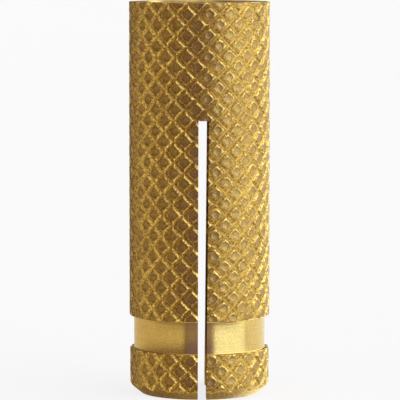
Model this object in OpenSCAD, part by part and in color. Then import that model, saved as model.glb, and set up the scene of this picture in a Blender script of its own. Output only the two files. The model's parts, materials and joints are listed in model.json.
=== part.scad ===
// Knurled expansion anchor, turned from one brass bar.
// It stands on its slit end: +Z runs along the bore to the screw end, the origin is
// the middle of the slit end, and the slit lies in the plane of Y and Z. Millimetres.

/* [Barrel] */
// Overall length, from the slit end to the screw end
anchor_length = 28; // [26:0.5:40]
// Diameter over the crests of the knurl
barrel_d = 10.05; // [9.8:0.05:11]
// Edge break round the screw end
rim_break = 0.1; // [0:0.05:0.3]

/* [Knurl] */
// Number of left-hand V grooves round the barrel
knurl_starts = 20; // [16:1:28]
// How many more right-hand grooves there are than left-hand ones
knurl_extra = 1; // [0:1:1]
// Depth of the V grooves below the crests
knurl_depth = 0.21; // [0.15:0.01:0.3]
// Angle between a groove and the anchor's axis
knurl_angle = 46.2; // [35:0.1:50]
// Angle between the two flanks of a groove
knurl_flanks = 90; // [80:1:100]
// Turn of the left-hand grooves' crests about the axis, at the screw end
left_turn = -2.2; // [-8:0.1:8]
// Turn of the right-hand grooves' crests about the axis, at the screw end
right_turn = 0; // [-8:0.1:8]

/* [Slit end] */
// Height of the knurled collar at the slit end
collar_h = 3.25; // [2.6:0.05:4]
// How far the collar lies inside the barrel all round, from pinching the legs
collar_inset = 0.04; // [0:0.01:0.1]
// Width of the plain groove above the collar
groove_w = 2.35; // [1.5:0.05:3]
// Depth of the plain groove below the crests
groove_depth = 0.34; // [0.3:0.01:0.6]
// Edge break where the knurl meets the plain groove
groove_break = 0.05; // [0.05:0.05:0.2]
// Height of the chamfer round the slit end
nose_h = 0.65; // [0.4:0.05:1]
// How far that chamfer runs in from the collar
nose_inset = 0.8; // [0.4:0.05:1]
// Radius that blends that chamfer into the collar
nose_blend = 0.6; // [0.2:0.1:1]

/* [Slit] */
// Length of the slit, measured up the outside of a leg
slit_len = 19.75; // [14:0.25:22]
// Width of the slit at its root, as sawn
slit_root_w = 0.74; // [0.5:0.02:1.2]
// Width of the slit at the end, with the legs pinched
slit_mouth_w = 0.6; // [0.4:0.02:1.2]
// Distance of the slit's middle from the axis at its root
slit_root_off = 0.24; // [0:0.02:0.4]
// Distance of the slit's middle from the axis at the end
slit_mouth_off = 0.12; // [0:0.02:0.4]
// Diameter of the saw that cuts the slit
saw_d = 63; // [40:1:100]

/* [Bore] */
// Crest diameter of the M8 screw thread, which is also the tapping hole
thread_minor_d = 6.65; // [6.4:0.05:6.9]
// Length of the threaded wall
thread_len = 16; // [12:0.5:18]
// Diameter of the countersink at the thread's mouth
mouth_d = 8.2; // [7.4:0.1:8.8]
// Length of the cone that spreads the legs
wedge_len = 6; // [3:0.5:7]
// Diameter of the narrow throat below the cone
throat_d = 4.8; // [4:0.1:5.6]
// Edge break where the throat opens at the slit end
throat_break = 0.3; // [0:0.05:0.5]

/* [Hidden] */
$fn = 96;
brass = [0.80, 0.63, 0.30];
// How far cutting shapes run past the surface that they cut
past = 1;
// Straight steps in the nose blend
blend_steps = 4;

crest_r = barrel_d/2;
valley_r = crest_r - knurl_depth;
collar_r = crest_r - collar_inset;
groove_r = crest_r - groove_depth;
groove_top = collar_h + groove_w;

// Grooves round the barrel of each hand, and the height in which each goes once round
left_starts = knurl_starts;
right_starts = knurl_starts + knurl_extra;
lead = PI*barrel_d/tan(knurl_angle);
// From one groove to the next, square to them, as a mean of both hands
pitch_normal = 2*PI*barrel_d*cos(knurl_angle)/(left_starts + right_starts);
// The flanks would meet in a point this far out, if the crests weren't turned off
point_r = valley_r + pitch_normal/2/tan(knurl_flanks/2);
// Groove crossings and crest middles take turns, column by column and row by row
columns = left_starts + right_starts;
half_rise = lead*(1/left_starts + 1/right_starts)/4;
// The row that lies near the screw end's face; one more row stands above it
face_row = ceil(anchor_length/half_rise) + 2;
rows = face_row + 1;

thread_r = thread_minor_d/2;
mouth_r = mouth_d/2;
throat_r = throat_d/2;
thread_top = anchor_length - (mouth_r - thread_r);
wedge_top = thread_top - thread_len;
throat_top = wedge_top - wedge_len;

// The nose chamfer's slope from the axis, and the blend's reach on either side
nose_slope = atan2(nose_inset, nose_h);
blend_r = min(nose_blend, 0.9*nose_h/tan(nose_slope/2));
blend_reach = blend_r*tan(nose_slope/2);

// The saw's arc passes through the slit's stated end on the outside of a leg
saw_r = saw_d/2;
saw_centre_z = slit_len - sqrt(saw_r*saw_r - crest_r*crest_r);

// A crest's middle is on this row and column, or else a groove crossing
function is_crest(column, row) = (column + row - face_row) % 2 == 0;

// The knurl's corner at a column and a row, from its place among the grooves of each hand
function knurl_point(column, row) =
    let (r = is_crest(column, row) ? point_r : valley_r,
         left = (column + row - face_row)/2/left_starts + left_turn/360,
         right = (column - row + face_row)/2/right_starts + right_turn/360,
         turn = 180*(left + right) - 90)
    [r*cos(turn), r*sin(turn), anchor_length + lead/2*(left - right)];

// The number of that corner in the list. Where one hand has a groove more, once round
// the barrel leads one row up.
function corner(column, row) =
    (row + knurl_extra*floor(column/columns))*columns + column % columns;

// Two triangles fill each square of four corners; they share the groove's bottom
function knurl_square(column, row) =
    let (a = corner(column, row), b = corner(column + 1, row),
         c = corner(column, row + 1), d = corner(column + 1, row + 1))
    is_crest(column, row) ? [[a, c, b], [b, c, d]] : [[a, c, d], [a, d, b]];

// Bar with V grooves of both hands and pointed crests, longer than the anchor. Its ends
// are drawn in to the axis, past the faces that the turning leaves.
module knurled_bar() {
    around = [for (row = [0:rows], column = [0:columns - 1]) knurl_point(column, row)];
    last = knurl_extra > 0 ? [knurl_point(0, rows + 1)] : [];
    points = concat(around, last, [[0, 0, -past], [0, 0, anchor_length + past]]);
    low = len(points) - 2;
    high = len(points) - 1;
    sides = [for (row = [0:rows - 1], column = [0:columns - 1]) each knurl_square(column, row)];
    ends = [for (column = [0:columns - 1]) each [
        [low, corner(column, 0), corner(column + 1, 0)],
        [high, corner(column + 1, rows), corner(column, rows)]]];
    steps = knurl_extra > 0
        ? [[low, corner(0, 1), corner(0, 0)], [high, corner(0, rows), corner(0, rows + 1)]]
        : [];
    polyhedron(points, concat(sides, ends, steps), convexity = 10);
}

// Outline of the turned barrel, from the slit end up to the screw end
module barrel_outline() {
    nose = [for (step = [0:blend_steps])
        let (a = nose_slope*(1 - step/blend_steps))
        [collar_r - blend_r + blend_r*cos(a), nose_h + blend_reach - blend_r*sin(a)]];
    polygon(concat(
        [[0, 0], [collar_r - nose_inset, 0]],
        nose,
        [[collar_r, collar_h - groove_break],
         [collar_r - groove_break, collar_h],
         [groove_r, collar_h],
         [groove_r, groove_top],
         [crest_r - groove_break, groove_top],
         [crest_r, groove_top + groove_break],
         [crest_r, anchor_length - rim_break],
         [crest_r - rim_break, anchor_length],
         [0, anchor_length]]));
}

// Threaded bore from the screw end, the cone that spreads the legs, and the throat
module bore() {
    rotate_extrude() polygon([
        [0, -past],
        [throat_r + throat_break + past, -past],
        [throat_r, throat_break],
        [throat_r, throat_top],
        [thread_r, wedge_top],
        [thread_r, thread_top],
        [mouth_r + past, anchor_length + past],
        [0, anchor_length + past]]);
}

// Saw slit through both walls; it narrows towards the end, where the legs are pinched
module slit() {
    function middle(z) = slit_mouth_off + (slit_root_off - slit_mouth_off)*z/slit_len;
    function half(z) = (slit_mouth_w + (slit_root_w - slit_mouth_w)*z/slit_len)/2;
    low = -past;
    high = slit_len + past;
    intersection() {
        rotate([90, 0, 0])
            linear_extrude(barrel_d + 2*past, center = true)
                polygon([
                    [middle(low) - half(low), low],
                    [middle(low) + half(low), low],
                    [middle(high) + half(high), high],
                    [middle(high) - half(high), high]]);
        translate([-crest_r, 0, saw_centre_z])
            rotate([0, 90, 0])
                cylinder(r = saw_r, h = barrel_d);
    }
}

module anchor() {
    color(brass)
        difference() {
            intersection() {
                knurled_bar();
                rotate_extrude() barrel_outline();
            }
            bore();
            slit();
        }
}

anchor();
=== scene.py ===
import json
import math
import bpy
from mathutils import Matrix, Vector


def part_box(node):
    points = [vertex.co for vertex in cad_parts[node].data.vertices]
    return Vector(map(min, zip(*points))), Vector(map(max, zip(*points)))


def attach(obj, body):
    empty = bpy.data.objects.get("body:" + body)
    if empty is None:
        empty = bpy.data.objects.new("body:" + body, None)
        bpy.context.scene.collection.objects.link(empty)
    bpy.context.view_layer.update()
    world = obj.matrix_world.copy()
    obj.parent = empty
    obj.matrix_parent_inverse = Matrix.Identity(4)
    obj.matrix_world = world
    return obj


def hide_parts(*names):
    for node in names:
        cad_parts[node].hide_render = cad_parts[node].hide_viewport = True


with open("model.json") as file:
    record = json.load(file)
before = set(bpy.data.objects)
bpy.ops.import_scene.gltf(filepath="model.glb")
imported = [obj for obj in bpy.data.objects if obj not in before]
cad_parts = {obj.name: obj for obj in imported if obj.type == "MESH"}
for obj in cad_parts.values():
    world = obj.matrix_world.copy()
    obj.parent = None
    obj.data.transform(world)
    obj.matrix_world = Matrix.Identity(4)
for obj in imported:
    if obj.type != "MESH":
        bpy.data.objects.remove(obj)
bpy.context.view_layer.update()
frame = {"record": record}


# ---- Camera ----------------------------------------------------------------------------
# A long lens a hand's span away, with its eye a little above the anchor's screw end
# and turned a touch to the left of the slit's plane.
MM = 0.001
low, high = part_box("anchor")
length = high.z - low.z
LENS = 268.7
EYE_DISTANCE = 213 * MM
EYE_ABOVE_TOP = 4.41 * MM
EYE_TURN = math.radians(-0.73)
AIM = Vector((0.04 * MM, 0, 13.8 * MM))
NEAREST_SEEN = 10 * MM


def camera():
    eye = Vector((EYE_DISTANCE * math.sin(EYE_TURN), -EYE_DISTANCE * math.cos(EYE_TURN),
                  length + EYE_ABOVE_TOP))
    made = bpy.data.objects.new("camera", bpy.data.cameras.new("camera"))
    bpy.context.collection.objects.link(made)
    made.data.lens = LENS
    made.data.clip_start = NEAREST_SEEN
    made.location = eye
    made.rotation_euler = (AIM - eye).to_track_quat("-Z", "Y").to_euler()
    bpy.context.scene.camera = made


camera()


# ---- Knurled bar -----------------------------------------------------------------------
# Drawn brass bar with a diamond knurl rolled into it: V grooves of both hands leave a
# raised diamond between them. The bar's old dull skin stays on each diamond's middle,
# inside a rim that the knurling wheels push up.
LEFT_STARTS = 20
RIGHT_STARTS = 21
KNURL_ANGLE = math.radians(46.2)
# Bearings of a left-hand and a right-hand crest line at the screw end, in turns
LEFT_TURN = -2.2 / 360
RIGHT_TURN = 0.0
# Rolling leaves no two diamonds quite alike: how far a crest may sink, and waves per metre
CREST_WAVE = 0.012 * MM
WAVES = 900.0
crest_radius = (high.x - low.x) / 2
lead = 2 * math.pi * crest_radius / math.tan(KNURL_ANGLE)
half_rise = lead / 2 / RIGHT_STARTS
# The rows start this many above the screw end, and end as many below the nose
ROWS_OVER = 2
rows = math.ceil((length + 2 * half_rise) / half_rise) + 2 * ROWS_OVER
# Points closer than this are one point
MERGE = 0.002 * MM

# From a groove's middle to the diamond's: share of the pitch, depth, squareness of corners
FLANK = [(0, 0.175 * MM, 1), (0.02, 0.175 * MM, 1), (0.158, 0.022 * MM, 1),
         (0.182, 0.005 * MM, 0.98), (0.232, 0, 0.80), (0.268, 0.017 * MM, 0.72)]
MIDDLE_DEPTH = 0.019 * MM

COLLAR_TOP = 3.25 * MM
COLLAR_INSET = 0.04 * MM
PLAIN_GROOVE_WIDTH = 2.35 * MM


def operator(operation, reflected=False):
    """A Python operator that adds a Math node to the graph of the wire it works on."""
    def work(wire, other):
        values = (other, wire) if reflected else (wire, other)
        return wire.graph.math(operation, *values)
    return work


class Wire:
    """A node's output that takes part in Python sums; each sum adds its Math node."""

    def __init__(self, graph, socket):
        self.graph = graph
        self.socket = socket

    __add__ = operator("ADD")
    __radd__ = operator("ADD", reflected=True)
    __sub__ = operator("SUBTRACT")
    __rsub__ = operator("SUBTRACT", reflected=True)
    __mul__ = operator("MULTIPLY")
    __rmul__ = operator("MULTIPLY", reflected=True)
    __truediv__ = operator("DIVIDE")
    __rtruediv__ = operator("DIVIDE", reflected=True)
    __mod__ = operator("FLOORED_MODULO")
    __pow__ = operator("POWER")
    __gt__ = operator("GREATER_THAN")
    __lt__ = operator("LESS_THAN")

    def __abs__(self):
        return self.graph.math("ABSOLUTE", self)


class Graph:
    """A node tree that is written as Python expressions."""

    def __init__(self, tree):
        self.tree = tree

    def node(self, kind, settings=None, sockets=None, out=0):
        """Adds a node, with its settings first and then its sockets' values or links."""
        made = self.tree.nodes.new(kind)
        for name, value in (settings or {}).items():
            setattr(made, name, value)
        for name, value in (sockets or {}).items():
            socket = made.inputs[name]
            if isinstance(value, Wire):
                self.tree.links.new(value.socket, socket)
            else:
                socket.default_value = value
        return None if out is None else Wire(self, made.outputs[out])

    def math(self, operation, *values):
        return self.node("ShaderNodeMath", {"operation": operation}, dict(enumerate(values)))

    def step(self, value, start, end):
        """0 at start, 1 at end, and smooth between them."""
        return self.node("ShaderNodeMapRange", {"interpolation_type": "SMOOTHSTEP"},
                         {"Value": value, "From Min": start, "From Max": end})

    def split(self, vector):
        parts = self.node("ShaderNodeSeparateXYZ", sockets={0: vector}).socket.node
        return [Wire(self, parts.outputs[axis]) for axis in range(3)]

    def join(self, x, y, z):
        return self.node("ShaderNodeCombineXYZ", sockets={0: x, 1: y, 2: z})

    def noise(self, vector, scale=1.0, detail=2.0):
        """Smooth noise from 0 to 1, with scale waves for each metre of the vector."""
        return self.node("ShaderNodeTexNoise", sockets={
            "Vector": vector, "Scale": scale, "Detail": detail})

    def blend(self, share, first, second):
        """Mixes two colours by a share of the second."""
        return self.node("ShaderNodeMix", {"data_type": "RGBA"},
                         {0: share, 6: first, 7: second}, out=2)


def geometry_graph(name, sizes):
    """A Geometry Nodes tree with a mesh input and a named input for each size."""
    tree = bpy.data.node_groups.new(name, "GeometryNodeTree")
    tree.interface.new_socket("Geometry", in_out="INPUT", socket_type="NodeSocketGeometry")
    for size, value in sizes.items():
        kind = "NodeSocketInt" if isinstance(value, int) else "NodeSocketFloat"
        tree.interface.new_socket(size, in_out="INPUT", socket_type=kind)
    tree.interface.new_socket("Geometry", in_out="OUTPUT", socket_type="NodeSocketGeometry")
    graph = Graph(tree)
    given = tree.nodes.new("NodeGroupInput")
    graph.given = {socket.name: Wire(graph, socket) for socket in given.outputs if socket.name}
    return graph


def put_modifier(thing, graph, sizes, result):
    """Ends the tree in result, and sets the modifier's inputs by their identifiers."""
    graph.tree.links.new(result.socket, graph.tree.nodes.new("NodeGroupOutput").inputs[0])
    modifier = thing.modifiers.new(graph.tree.name, "NODES")
    modifier.node_group = graph.tree
    for item in graph.tree.interface.items_tree:
        if item.in_out == "INPUT" and item.name in sizes:
            modifier[item.identifier] = sizes[item.name]


def new_object(name, vertices, faces, material=None):
    mesh = bpy.data.meshes.new(name)
    mesh.from_pydata(vertices, [], faces)
    mesh.validate()
    if material:
        mesh.materials.append(material)
    made = bpy.data.objects.new(name, mesh)
    bpy.context.collection.objects.link(made)
    return made


def diamond_tile(material):
    """One diamond laid flat in rings of eight points: x and y in pitches, z in depth."""
    vertices, faces = [], []
    for share, depth, squareness in FLANK:
        half = 0.5 - share
        for corner in range(4):
            turn = math.pi / 2 * corner
            along, across = half * squareness, half / math.sqrt(2)
            vertices.append((along * math.cos(turn), along * math.sin(turn), depth))
            turn += math.pi / 4
            vertices.append((across * math.cos(turn), across * math.sin(turn), depth))
    vertices.append((0, 0, MIDDLE_DEPTH))
    for ring in range(len(FLANK)):
        for point in range(8):
            outer = [8 * ring + point, 8 * ring + (point + 1) % 8]
            if ring + 1 < len(FLANK):
                faces.append(outer + [8 * ring + 8 + (point + 1) % 8, 8 * ring + 8 + point])
            else:
                faces.append(outer + [len(vertices) - 1])
    return new_object("anchor_body", vertices, faces, material)


def knurl(tile, material):
    """Repeats the tile over the bar, wraps it round, joins the tiles and closes the ends."""
    sizes = {"Left-hand starts": LEFT_STARTS, "Right-hand starts": RIGHT_STARTS, "Rows": rows,
             "Rows over": ROWS_OVER, "Lead": lead, "Left-hand turn": LEFT_TURN,
             "Right-hand turn": RIGHT_TURN, "Crest radius": crest_radius,
             "Face height": length, "Collar inset": COLLAR_INSET,
             "Collar end": COLLAR_TOP + PLAIN_GROOVE_WIDTH / 2, "Wave": CREST_WAVE,
             "Waves": WAVES}
    g = geometry_graph("knurl", sizes)
    given = g.given
    index = g.node("GeometryNodeInputIndex")
    row = g.math("FLOOR", index / given["Left-hand starts"]) - given["Rows over"]
    column = index % given["Left-hand starts"]
    points = g.node("GeometryNodePoints", sockets={
        "Count": given["Left-hand starts"] * given["Rows"],
        "Position": g.join(column + row / 2, row / -2, 0)})
    tiles = g.node("GeometryNodeInstanceOnPoints", sockets={
        "Points": points, "Instance": given["Geometry"]})
    flat = g.node("GeometryNodeRealizeInstances", sockets={"Geometry": tiles})

    # A point's count of grooves of each hand gives its bearing and its height
    x, y, depth = g.split(g.node("GeometryNodeInputPosition"))
    left = (x + y) / given["Left-hand starts"] + given["Left-hand turn"]
    right = (x - y) / given["Right-hand starts"] + given["Right-hand turn"]
    angle = (left + right) * math.pi - math.pi / 2
    height = given["Face height"] + given["Lead"] / 2 * (left - right)
    inset = (height < given["Collar end"]) * given["Collar inset"]
    radius = given["Crest radius"] - inset - depth
    wrapped = g.join(radius * g.math("COSINE", angle), radius * g.math("SINE", angle), height)
    round_bar = g.node("GeometryNodeSetPosition", sockets={
        "Geometry": flat, "Position": wrapped})
    joined = g.node("GeometryNodeMergeByDistance", sockets={
        "Geometry": round_bar, "Distance": MERGE})

    where = g.node("GeometryNodeInputPosition")
    wave = g.noise(where, given["Waves"])
    px, py, pz = g.split(where)
    shrink = 1 - wave * given["Wave"] / given["Crest radius"]
    uneven = g.node("GeometryNodeSetPosition", sockets={
        "Geometry": joined, "Position": g.join(px * shrink, py * shrink, pz)})

    # Each open end is drawn in to a point on the axis, where the turning cuts it off
    open_edge = g.node("GeometryNodeInputMeshEdgeNeighbors") < 2
    grown = g.node("GeometryNodeExtrudeMesh", {"mode": "EDGES"}, {
        "Mesh": uneven, "Selection": open_edge, "Offset Scale": 0.0})
    top = Wire(g, grown.socket.node.outputs["Top"])
    past = given["Lead"] / 10
    up = (pz > given["Face height"] / 2) * (given["Face height"] + 2 * past)
    axis = g.join(0, 0, up - past)
    pointed = g.node("GeometryNodeSetPosition", sockets={
        "Geometry": grown, "Selection": top, "Position": axis})
    closed = g.node("GeometryNodeMergeByDistance", sockets={
        "Geometry": pointed, "Distance": MERGE})
    whole = g.node("GeometryNodeRealizeInstances", sockets={"Geometry": closed})
    finished = g.node("GeometryNodeSetMaterial", sockets={
        "Geometry": whole, "Material": material})
    put_modifier(tile, g, sizes, finished)


def metal(name, paint):
    """A material whose colour, roughness and height above the surface come from paint."""
    made = bpy.data.materials.new(name)
    made.use_nodes = True
    made.node_tree.nodes.clear()
    g = Graph(made.node_tree)
    where = g.node("ShaderNodeTexCoord", out="Object")
    colour, roughness, relief = paint(g, where)
    bump = g.node("ShaderNodeBump", sockets={
        "Strength": 1.0, "Distance": 1.0, "Height": relief})
    surface = g.node("ShaderNodeBsdfPrincipled", sockets={
        "Base Color": colour, "Metallic": 1.0, "Roughness": roughness, "Normal": bump})
    g.node("ShaderNodeOutputMaterial", sockets={"Surface": surface}, out=None)
    return made


FRESH_BRASS = (0.89, 0.64, 0.19, 1)
WORN_BRASS = (0.44, 0.27, 0.095, 1)
GROOVE_BRASS = (0.74, 0.52, 0.16, 1)
RED_SKIN = (0.44, 0.245, 0.085, 1)
OLIVE_SKIN = (0.42, 0.275, 0.075, 1)
# Painted shade for the crease round each diamond's skin, and also the colour of the grain's
# dark specks
CREASE_SHADE_AND_DARK_SPECKS = (0.24, 0.125, 0.045, 1)
# The dull skin's patch: its reach and fade in pitches, and how square it is (2 is round)
SKIN_REACH = 0.241
SKIN_FADE = 0.07
SKIN_SQUARENESS = 3.2
# Width in pitches of the painted shade in the crease round the skin's patch
CREASE_SHADE_REACH = 0.045
# Waves per metre of the brass's uneven colour and surface
BLOTCHES = 5200.0
PATCHES = 700.0
TINTS = 1400.0
GRAINS = 8000.0
# Waves per pitch of the marks that the wheels drag, across and along a groove
DRAGS_ACROSS = 38
DRAGS_ALONG = 2.2
DRAG_DEPTH = 0.006 * MM
GRAIN_DEPTH = 0.02 * MM
BLOTCH_DEPTH = 0.012 * MM


def knurled_paint(g, where):
    """Worn and fresh brass, with a dull patch on each diamond and painted shade in the crease
    round it.
    """
    x, y, z = g.split(where)
    bearing = g.math("ARCTAN2", x, 0 - y) / (2 * math.pi)
    climb = (z - length) / lead
    left = (bearing + climb - LEFT_TURN) * LEFT_STARTS
    right = (bearing - climb - RIGHT_TURN) * RIGHT_STARTS

    # How many pitches a point lies from its diamond's middle, across each hand
    off_left = abs((left + 0.5) % 1 - 0.5)
    off_right = abs((right + 0.5) % 1 - 0.5)
    off = g.math("MAXIMUM", off_left, off_right)
    round_off = ((off_left ** SKIN_SQUARENESS + off_right ** SKIN_SQUARENESS)
                 ** (1 / SKIN_SQUARENESS))

    blotch = g.noise(where, BLOTCHES, 3.0)
    patch = g.noise(where, PATCHES)
    grain = g.noise(where, GRAINS)
    reach = round_off + (blotch - 0.5) * 0.12 + (patch - 0.5) * 0.06
    skin = 1 - g.step(reach, SKIN_REACH - SKIN_FADE / 2, SKIN_REACH + SKIN_FADE / 2)
    crease_shade = 1 - g.step(abs(reach - SKIN_REACH), 0.0, CREASE_SHADE_REACH)
    flat = 1 - g.step(off, 0.27, 0.34)
    groove = g.step(off, 0.40, 0.45)

    # The wheels drag along the groove whose flank this is
    in_left = off_left > off_right
    across = right + in_left * (left - right)
    along = left + in_left * (right - left)
    drag = g.noise(g.join(across * DRAGS_ACROSS, along * DRAGS_ALONG, 0.0))

    wear = g.step(drag * 0.2 + patch * 0.15 + blotch * 0.2 + grain * 0.45, 0.44, 0.54)
    colour = g.blend(wear, FRESH_BRASS, WORN_BRASS)
    colour = g.blend(flat * 0.45, colour, WORN_BRASS)
    tint = g.step(g.noise(where, TINTS), 0.42, 0.58)
    tarnish = g.blend(tint, RED_SKIN, OLIVE_SKIN)
    colour = g.blend(skin * (0.25 + blotch * 1.1), colour, tarnish)
    # Painted shade darkens the crease round the skin's patch
    colour = g.blend(crease_shade * (0.3 + blotch * 0.9), colour, CREASE_SHADE_AND_DARK_SPECKS)
    colour = g.blend(groove * 0.5, colour, GROOVE_BRASS)
    # Dark specks in the brass's grain, in the same dark colour as the crease's painted shade
    colour = g.blend(g.step(grain, 0.58, 0.66) * 0.7, colour, CREASE_SHADE_AND_DARK_SPECKS)
    roughness = 0.30 + drag * 0.08 + skin * 0.03 - groove * 0.03 + (grain - 0.5) * 0.2
    relief = ((1 - skin) * (drag - 0.5) * DRAG_DEPTH + (grain - 0.5) * GRAIN_DEPTH
              + (blotch - 0.5) * BLOTCH_DEPTH)
    return colour, roughness, relief


knurled_brass = metal("knurled_brass", knurled_paint)
body = diamond_tile(knurled_brass)
knurl(body, knurled_brass)


# ---- Turning ---------------------------------------------------------------------------
# The knurled bar is faced to length in the lathe. A form tool cuts the plain groove, the
# collar below it and the chamfer round the end that goes into the hole first.
NOSE_HEIGHT = 0.65 * MM
NOSE_INSET = 0.8 * MM
NOSE_BLEND = 0.6 * MM
PLAIN_GROOVE_DEPTH = 0.34 * MM
EDGE_BREAK = 0.05 * MM
TOOL_RADIUS = 0.08 * MM
# The turned outline stands this far off the crests where the knurl is left alone
STAND_OFF = 0.3 * MM
STEPS_ROUND = 8 * RIGHT_STARTS


def turned(name, outline, material):
    """A mesh turned to an outline of (radius, height) points; 0 as a radius closes an end."""
    vertices, rings = [], []
    for radius, height in outline:
        steps = STEPS_ROUND if radius > 0 else 1
        rings.append(range(len(vertices), len(vertices) + steps))
        for step in range(steps):
            turn = 2 * math.pi * step / STEPS_ROUND
            vertices.append((radius * math.cos(turn), radius * math.sin(turn), height))
    faces = []
    for lower, upper in zip(rings, rings[1:]):
        for step in range(STEPS_ROUND):
            after = (step + 1) % STEPS_ROUND
            ring = [lower[step % len(lower)], lower[after % len(lower)],
                    upper[after % len(upper)], upper[step % len(upper)]]
            faces.append(list(dict.fromkeys(ring)))
    return new_object(name, vertices, faces, material)


def arc(middle, radius, start, end, steps=6):
    """Points round a middle, from one angle to another, both in degrees."""
    turns = [math.radians(start + (end - start) * step / steps) for step in range(steps + 1)]
    return [(middle[0] + radius * math.cos(turn), middle[1] + radius * math.sin(turn))
            for turn in turns]


def barrel_outline():
    """From the nose up, past the collar and the plain groove, to the screw end."""
    collar_radius = crest_radius - COLLAR_INSET
    floor_radius = crest_radius - PLAIN_GROOVE_DEPTH
    groove_top = COLLAR_TOP + PLAIN_GROOVE_WIDTH
    slope = math.degrees(math.atan2(NOSE_INSET, NOSE_HEIGHT))
    reach = NOSE_BLEND * math.tan(math.radians(slope / 2))
    nose_middle = (collar_radius - NOSE_BLEND, NOSE_HEIGHT + reach)
    clear = crest_radius + STAND_OFF
    return [
        (0, 0),
        (collar_radius - NOSE_INSET, 0),
        *arc(nose_middle, NOSE_BLEND, -slope, 0),
        (clear, NOSE_HEIGHT + reach + EDGE_BREAK),
        (clear, COLLAR_TOP - EDGE_BREAK - clear + collar_radius),
        (collar_radius - EDGE_BREAK, COLLAR_TOP),
        *arc((floor_radius + TOOL_RADIUS, COLLAR_TOP + TOOL_RADIUS), TOOL_RADIUS, 270, 180, 3),
        *arc((floor_radius + TOOL_RADIUS, groove_top - TOOL_RADIUS), TOOL_RADIUS, 180, 90, 3),
        (crest_radius - EDGE_BREAK, groove_top),
        (clear, groove_top + EDGE_BREAK + clear - crest_radius),
        (clear, length - EDGE_BREAK - clear + crest_radius),
        (crest_radius - EDGE_BREAK, length),
        (0, length)]


TURNED_BRASS = (0.75, 0.53, 0.18, 1)
# Waves per metre of the tool's marks, across the axis and along it
RINGS_ACROSS = 60
RINGS_ALONG = 16000
CHATTER_ACROSS = 40
CHATTER_ALONG = 3500
CLOUDS = 500.0
RING_DEPTH = 0.001 * MM
CHATTER_DEPTH = 0.003 * MM
SPECKLE_DEPTH = 0.003 * MM
NOSE_SPECKLE_DEPTH = 0.014 * MM
# The nose's dull scale fades out between these heights
SCALE_FULL = 1.3 * MM
SCALE_GONE = 1.7 * MM


def turned_paint(g, where):
    """Fine rings left by the tool under a fine speckle. The nose is duller and rougher."""
    x, y, z = g.split(where)
    rings = g.noise(g.join(x * RINGS_ACROSS, y * RINGS_ACROSS, z * RINGS_ALONG), detail=3.0)
    chatter = g.noise(g.join(x * CHATTER_ACROSS, y * CHATTER_ACROSS, z * CHATTER_ALONG))
    cloud = g.noise(where, CLOUDS, 3.0)
    speckle = g.noise(where, GRAINS, 3.0)
    nose = 1 - g.step(z, SCALE_FULL, SCALE_GONE)
    dull = g.step(cloud * 0.3 + rings * 0.2 + speckle * 0.5, 0.4, 0.62)
    scale = nose * (0.1 + g.step(speckle, 0.42, 0.56) * 0.6)
    colour = g.blend(g.math("MINIMUM", dull * 0.4 + scale, 1.0), TURNED_BRASS, WORN_BRASS)
    roughness = 0.10 + rings * 0.06 + speckle * 0.10 + nose * 0.28
    relief = ((rings - 0.5) * RING_DEPTH + (chatter - 0.5) * CHATTER_DEPTH
              + (speckle - 0.5) * (SPECKLE_DEPTH + nose * NOSE_SPECKLE_DEPTH))
    return colour, roughness, relief


turned_brass = metal("turned_brass", turned_paint)
barrel = turned("barrel_turning", barrel_outline(), turned_brass)


# ---- Bore and thread -------------------------------------------------------------------
# A stepped drill leaves the tapping hole, the cone that spreads the legs and the throat.
# The mouth is countersunk, and an M8 tap cuts the thread and runs out above the cone.
mounts = {mount["name"]: mount for mount in frame["record"]["mounts"]}
thread_mount = mounts["screw_thread"]
tapping_radius = thread_mount["dims"]["r_mm"] * MM
thread_length = thread_mount["dims"]["length_mm"] * MM
THREAD_RADIUS = 4.0 * MM
THREAD_PITCH = 1.25 * MM
MOUTH_RADIUS = 4.1 * MM
WEDGE_LENGTH = 6 * MM
THROAT_RADIUS = 2.4 * MM
THROAT_BREAK = 0.3 * MM
# Drill, tap and saw run this far past the anchor
PAST = 1 * MM
# The thread's groove: its width at the tapping hole, its flat and the slope of its sides
THREAD_WIDTH = 0.75 * THREAD_PITCH
THREAD_FLAT = THREAD_PITCH / 8
THREAD_SLOPE = math.radians(30)
# The tap's section starts this far inside the tapping hole
TAP_ROOT = 0.1 * MM
# Steps in one turn of the thread
TAP_STEPS = 72
# The groove starts at this share of its full size, and reaches that after these turns
RUN_OUT_START = 0.02
RUN_OUT_TURNS = 0.8


def bore_outline():
    """From below the throat, up the cone and the tapping hole, to above the mouth."""
    thread_top = length - (MOUTH_RADIUS - tapping_radius)
    wedge_top = thread_top - thread_length
    return [
        (0, -PAST),
        (THROAT_RADIUS + THROAT_BREAK + PAST, -PAST),
        (THROAT_RADIUS, THROAT_BREAK),
        (THROAT_RADIUS, wedge_top - WEDGE_LENGTH),
        (tapping_radius, wedge_top),
        (tapping_radius, thread_top),
        (MOUTH_RADIUS + PAST, length + PAST),
        (0, length + PAST)]


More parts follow.
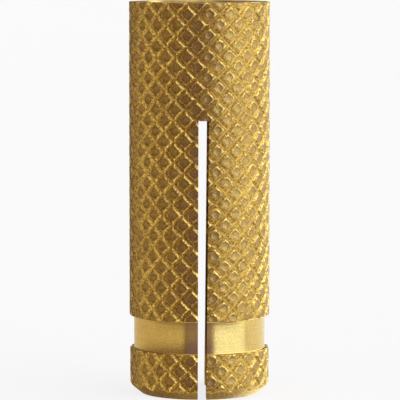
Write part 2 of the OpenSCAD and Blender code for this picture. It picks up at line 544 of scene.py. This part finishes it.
def tap(material):
    """Sweeps the thread's section along a helix that runs out at its lower end."""
    bottom = length - (MOUTH_RADIUS - tapping_radius) - thread_length
    turns = (length + THREAD_PITCH - bottom) / THREAD_PITCH
    sizes = {"Turns": turns, "Thread pitch": THREAD_PITCH,
             "Root radius": tapping_radius - TAP_ROOT,
             "Depth": THREAD_RADIUS - tapping_radius + TAP_ROOT,
             "Width": THREAD_WIDTH + 2 * TAP_ROOT * math.tan(THREAD_SLOPE),
             "Flat": THREAD_FLAT, "Bottom": bottom, "Steps": TAP_STEPS,
             "Run-out turns": RUN_OUT_TURNS, "Run-out start": RUN_OUT_START}
    coil = new_object("thread_tap", [], [])
    g = geometry_graph("tap", sizes)
    given = g.given
    helix = g.node("GeometryNodeCurveSpiral", sockets={
        "Resolution": given["Steps"], "Rotations": given["Turns"], "Reverse": True,
        "Start Radius": given["Root radius"], "End Radius": given["Root radius"],
        "Height": given["Turns"] * given["Thread pitch"]})
    lifted = g.node("GeometryNodeSetPosition", sockets={
        "Geometry": helix, "Offset": g.join(0, 0, given["Bottom"])})
    upright = g.node("GeometryNodeSetCurveNormal", {"mode": "Z_UP"}, {"Curve": lifted})
    done = g.node("GeometryNodeSplineParameter") * given["Turns"] / given["Run-out turns"]
    growing = g.node("GeometryNodeSetCurveRadius", sockets={
        "Curve": upright, "Radius": g.math("MINIMUM", done + given["Run-out start"], 1.0)})
    section = g.node("GeometryNodeCurvePrimitiveQuadrilateral", {"mode": "POINTS"}, {
        "Point 1": g.join(0, given["Width"] / -2, 0),
        "Point 2": g.join(given["Depth"], given["Flat"] / -2, 0),
        "Point 3": g.join(given["Depth"], given["Flat"] / 2, 0),
        "Point 4": g.join(0, given["Width"] / 2, 0)})
    swept = g.node("GeometryNodeCurveToMesh", sockets={
        "Curve": growing, "Profile Curve": section, "Fill Caps": True})
    whole = g.node("GeometryNodeRealizeInstances", sockets={"Geometry": swept})
    finished = g.node("GeometryNodeSetMaterial", sockets={
        "Geometry": whole, "Material": material})
    put_modifier(coil, g, sizes, finished)
    return coil


DRILL_MARKS = 9000
DRILL_MARK_DEPTH = 0.003 * MM


def bored_paint(g, where):
    """Rings left by the drill, on brass with dull clouds."""
    x, y, z = g.split(where)
    rings = g.noise(g.join(x * RINGS_ACROSS, y * RINGS_ACROSS, z * DRILL_MARKS), detail=3.0)
    cloud = g.noise(where, PATCHES, 3.0)
    colour = g.blend(g.step(cloud, 0.4, 0.7), FRESH_BRASS, WORN_BRASS)
    return colour, 0.24 + rings * 0.15, (rings - 0.5) * DRILL_MARK_DEPTH


bored_brass = metal("bored_brass", bored_paint)
bore = turned("bore_drilling", bore_outline(), bored_brass)
thread = tap(bored_brass)


# ---- Slit ------------------------------------------------------------------------------
# A slitting saw cuts through both walls from the nose, a little off the axis. The two
# legs are then pinched, so that the slit narrows towards the nose.
SLIT_LENGTH = 19.75 * MM
SLIT_ROOT_WIDTH = 0.74 * MM
SLIT_END_WIDTH = 0.6 * MM
# How far the slit's middle lies off the axis, at its root and at the nose
SLIT_ROOT_OFF = 0.24 * MM
SLIT_END_OFF = 0.12 * MM
SAW_RADIUS = 31.5 * MM
SAW_STEPS = 24


def slit(material):
    """The saw's path: a bar across the anchor whose top follows the saw's rim."""
    saw_middle = SLIT_LENGTH - math.sqrt(SAW_RADIUS ** 2 - crest_radius ** 2)
    vertices = []
    for step in range(SAW_STEPS + 1):
        y = (crest_radius + PAST) * (2 * step / SAW_STEPS - 1)
        root = saw_middle + math.sqrt(SAW_RADIUS ** 2 - y ** 2)
        for height, side in ((-PAST, -1), (-PAST, 1), (root, 1), (root, -1)):
            share = height / SLIT_LENGTH
            middle = SLIT_END_OFF + (SLIT_ROOT_OFF - SLIT_END_OFF) * share
            width = SLIT_END_WIDTH + (SLIT_ROOT_WIDTH - SLIT_END_WIDTH) * share
            vertices.append((middle + side * width / 2, y, height))
    faces = [(0, 1, 2, 3), tuple(range(len(vertices) - 1, len(vertices) - 5, -1))]
    for step in range(SAW_STEPS):
        for corner in range(4):
            after = (corner + 1) % 4
            faces.append((4 * step + corner, 4 * step + 4 + corner,
                          4 * step + 4 + after, 4 * step + after))
    return new_object("slit_sawing", vertices, faces, material)


# Painted shade: the sawn walls are dark brass and their scratches darker still, standing in
# for the shadow inside the slit
SAWN_BRASS_IN_PAINTED_SHADE = (0.20, 0.12, 0.04, 1)
SCRATCHES_IN_PAINTED_SHADE = (0.06, 0.035, 0.015, 1)
# Waves per metre of the scratches, through the slit, along the wall and up it
SCRATCHES = (200, 250, 14000)
SCRATCH_DEPTH = 0.006 * MM


def sawn_paint_with_shade(g, where):
    """Scratches that follow the saw's rim across the wall, in painted shade: dark brass with
    darker scratches stands in for the shadow inside the slit.
    """
    x, y, z = g.split(where)
    arc_height = z + y * y / (2 * SAW_RADIUS)
    through, along, up = SCRATCHES
    scratches = g.noise(g.join(x * through, y * along, arc_height * up), detail=3.0)
    colour = g.blend(g.step(scratches, 0.35, 0.65), SAWN_BRASS_IN_PAINTED_SHADE, SCRATCHES_IN_PAINTED_SHADE)
    return colour, 0.42 + scratches * 0.2, (scratches - 0.5) * SCRATCH_DEPTH


# The slit's walls get this painted shade
sawn_brass_in_painted_shade = metal("sawn_brass_in_painted_shade", sawn_paint_with_shade)
saw_cut = slit(sawn_brass_in_painted_shade)


def cut(thing, tool, operation):
    """Cuts a thing with a tool, whose faces bring their own material."""
    modifier = thing.modifiers.new(tool.name, "BOOLEAN")
    modifier.operation = operation
    modifier.solver = "MANIFOLD"
    modifier.material_mode = "TRANSFER"
    modifier.object = tool
    tool.hide_render = True


cut(body, barrel, "INTERSECT")
cut(body, bore, "DIFFERENCE")
cut(body, thread, "DIFFERENCE")
cut(body, saw_cut, "DIFFERENCE")

# Edges that turn by more than this stay sharp
SHARP_TURN = math.radians(36)


def bake(thing):
    """Turns the modifiers' result into the object's own mesh, and drops the cutters."""
    evaluated = thing.evaluated_get(bpy.context.evaluated_depsgraph_get())
    solid = bpy.data.meshes.new_from_object(evaluated)
    cutters = [modifier.object for modifier in thing.modifiers if modifier.type == "BOOLEAN"]
    thing.modifiers.clear()
    for cutter in cutters:
        bpy.data.objects.remove(cutter)
    thing.data = solid
    solid.shade_smooth()
    solid.set_sharp_from_angle(angle=SHARP_TURN)


bake(body)
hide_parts("anchor")
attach(body, "root")


# ---- Floor and light -------------------------------------------------------------------
# The anchor stands on a white sheet that curves up all round. The light is a studio
# tent's: dim cloth with bright panels on the right, softer ones on the left, and a dark
# strip in front. To the camera the sheet glows, so that it stays white.
FLOOR_RADIUS = 0.7
SWEEP_RADIUS = 0.35
SWEEP_STEPS = 24
# The glow, and its share of what the camera sees of the sheet
SHEET_GLOW = (1.01, 1.01, 1.045, 1)
SHEET_SHARE = 0.8
SHEET_DARK = (0.94, 0.94, 0.94, 1)
SHEET_LIGHT = (0.96, 0.96, 0.96, 1)
FIBRES = 900.0


def sheet_material():
    made = bpy.data.materials.new("white_sheet")
    made.use_nodes = True
    made.node_tree.nodes.clear()
    g = Graph(made.node_tree)
    fibre = g.noise(g.node("ShaderNodeTexCoord", out="Object"), FIBRES, 3.0)
    lit = g.node("ShaderNodeBsdfDiffuse", sockets={
        "Color": g.blend(fibre, SHEET_DARK, SHEET_LIGHT)})
    white = g.node("ShaderNodeEmission", sockets={"Color": SHEET_GLOW})
    seen = g.node("ShaderNodeLightPath", out="Is Camera Ray")
    mixed = g.node("ShaderNodeMixShader", sockets={0: seen * SHEET_SHARE, 1: lit, 2: white})
    g.node("ShaderNodeOutputMaterial", sockets={"Surface": mixed}, out=None)
    return made


def sheet(material):
    """From the rim of the sweep in to the middle of the floor, so that it faces up."""
    sweep = arc((FLOOR_RADIUS, SWEEP_RADIUS), SWEEP_RADIUS, 0, -90, SWEEP_STEPS)
    made = turned("floor", [*sweep, (0, 0)], material)
    made.data.shade_smooth()
    made.visible_glossy = False
    return made


floor = sheet(sheet_material())

# The tent's panels over its dim cloth: light, and the edges' bearings and rises in degrees.
# Bearings count from the camera's side, and a later panel covers an earlier one.
BEARING_BLUR = 2
RISE_BLUR = 4
CLOTH = (0.27, 0.21, 0.15, 1)
PANELS = [
    ((1.10, 1.05, 0.95, 1), (14, 100), (42, 100)),
    ((0.82, 0.76, 0.52, 1), (-12, 14), (42, 100)),
    ((0.82, 0.76, 0.52, 1), (-12, 14), (-100, -42)),
    ((0.96, 0.86, 0.58, 1), (-56, -12), (40, 100)),
    ((0.90, 0.80, 0.54, 1), (-56, -12), (-100, -40)),
    ((0.70, 0.60, 0.40, 1), (-90, -56), (38, 100)),
    ((0.70, 0.60, 0.40, 1), (-90, -56), (-100, -38)),
    ((1.50, 1.45, 1.00, 1), (14, 60), (-100, -44)),
    ((1.85, 1.95, 1.55, 1), (92, 150), (-48, 48)),
    ((2.60, 2.60, 2.00, 1), (140, 200), (-45, -6)),
    ((2.50, 2.65, 2.30, 1), (25, 92), (4, 42)),
    ((1.30, 1.30, 1.05, 1), (74, 110), (-50, -17)),
    ((0.76, 0.68, 0.46, 1), (-172, -22), (-19, 0)),
    ((0.25, 0.185, 0.36, 1), (-25, 25), (-24, 16)),
    ((0.39, 0.31, 0.33, 1), (-25, 25), (-20, -4)),
    ((0.10, 0.08, 0.07, 1), (-27, -23), (-22, 12)),
    ((1.46, 1.68, 1.86, 1), (25, 88), (-19, 12)),
    ((1.10, 1.12, 1.05, 1), (90, 175), (-19, 6)),
    ((0.40, 0.30, 0.14, 1), (170, 200), (-2, 6)),
    ((0.40, 0.30, 0.14, 1), (-200, -170), (-2, 6)),
    ((0.75, 0.75, 0.72, 1), (-200, 200), (71, 100))]


def tent():
    world = bpy.data.worlds.new("tent")
    world.use_nodes = True
    world.node_tree.nodes.clear()
    g = Graph(world.node_tree)
    x, y, z = g.split(g.node("ShaderNodeTexCoord", out="Generated"))
    bearing = g.math("ARCTAN2", x, 0 - y) * math.degrees(1)
    rise = g.math("ARCSINE", z) * math.degrees(1)

    def between(value, edges, blur):
        start, end = edges
        begun = g.step(value, start - blur, start + blur)
        ended = g.step(value, end - blur, end + blur)
        return begun * (1 - ended)

    walls = CLOTH
    for light, bearings, rises in PANELS:
        inside = between(bearing, bearings, BEARING_BLUR) * between(rise, rises, RISE_BLUR)
        walls = g.blend(inside, walls, light)
    glow = g.node("ShaderNodeBackground", sockets={"Color": walls, "Strength": 1.0})
    g.node("ShaderNodeOutputWorld", sockets={"Surface": glow}, out=None)
    bpy.context.scene.world = world


tent()
bpy.context.scene.view_settings.view_transform = "Standard"
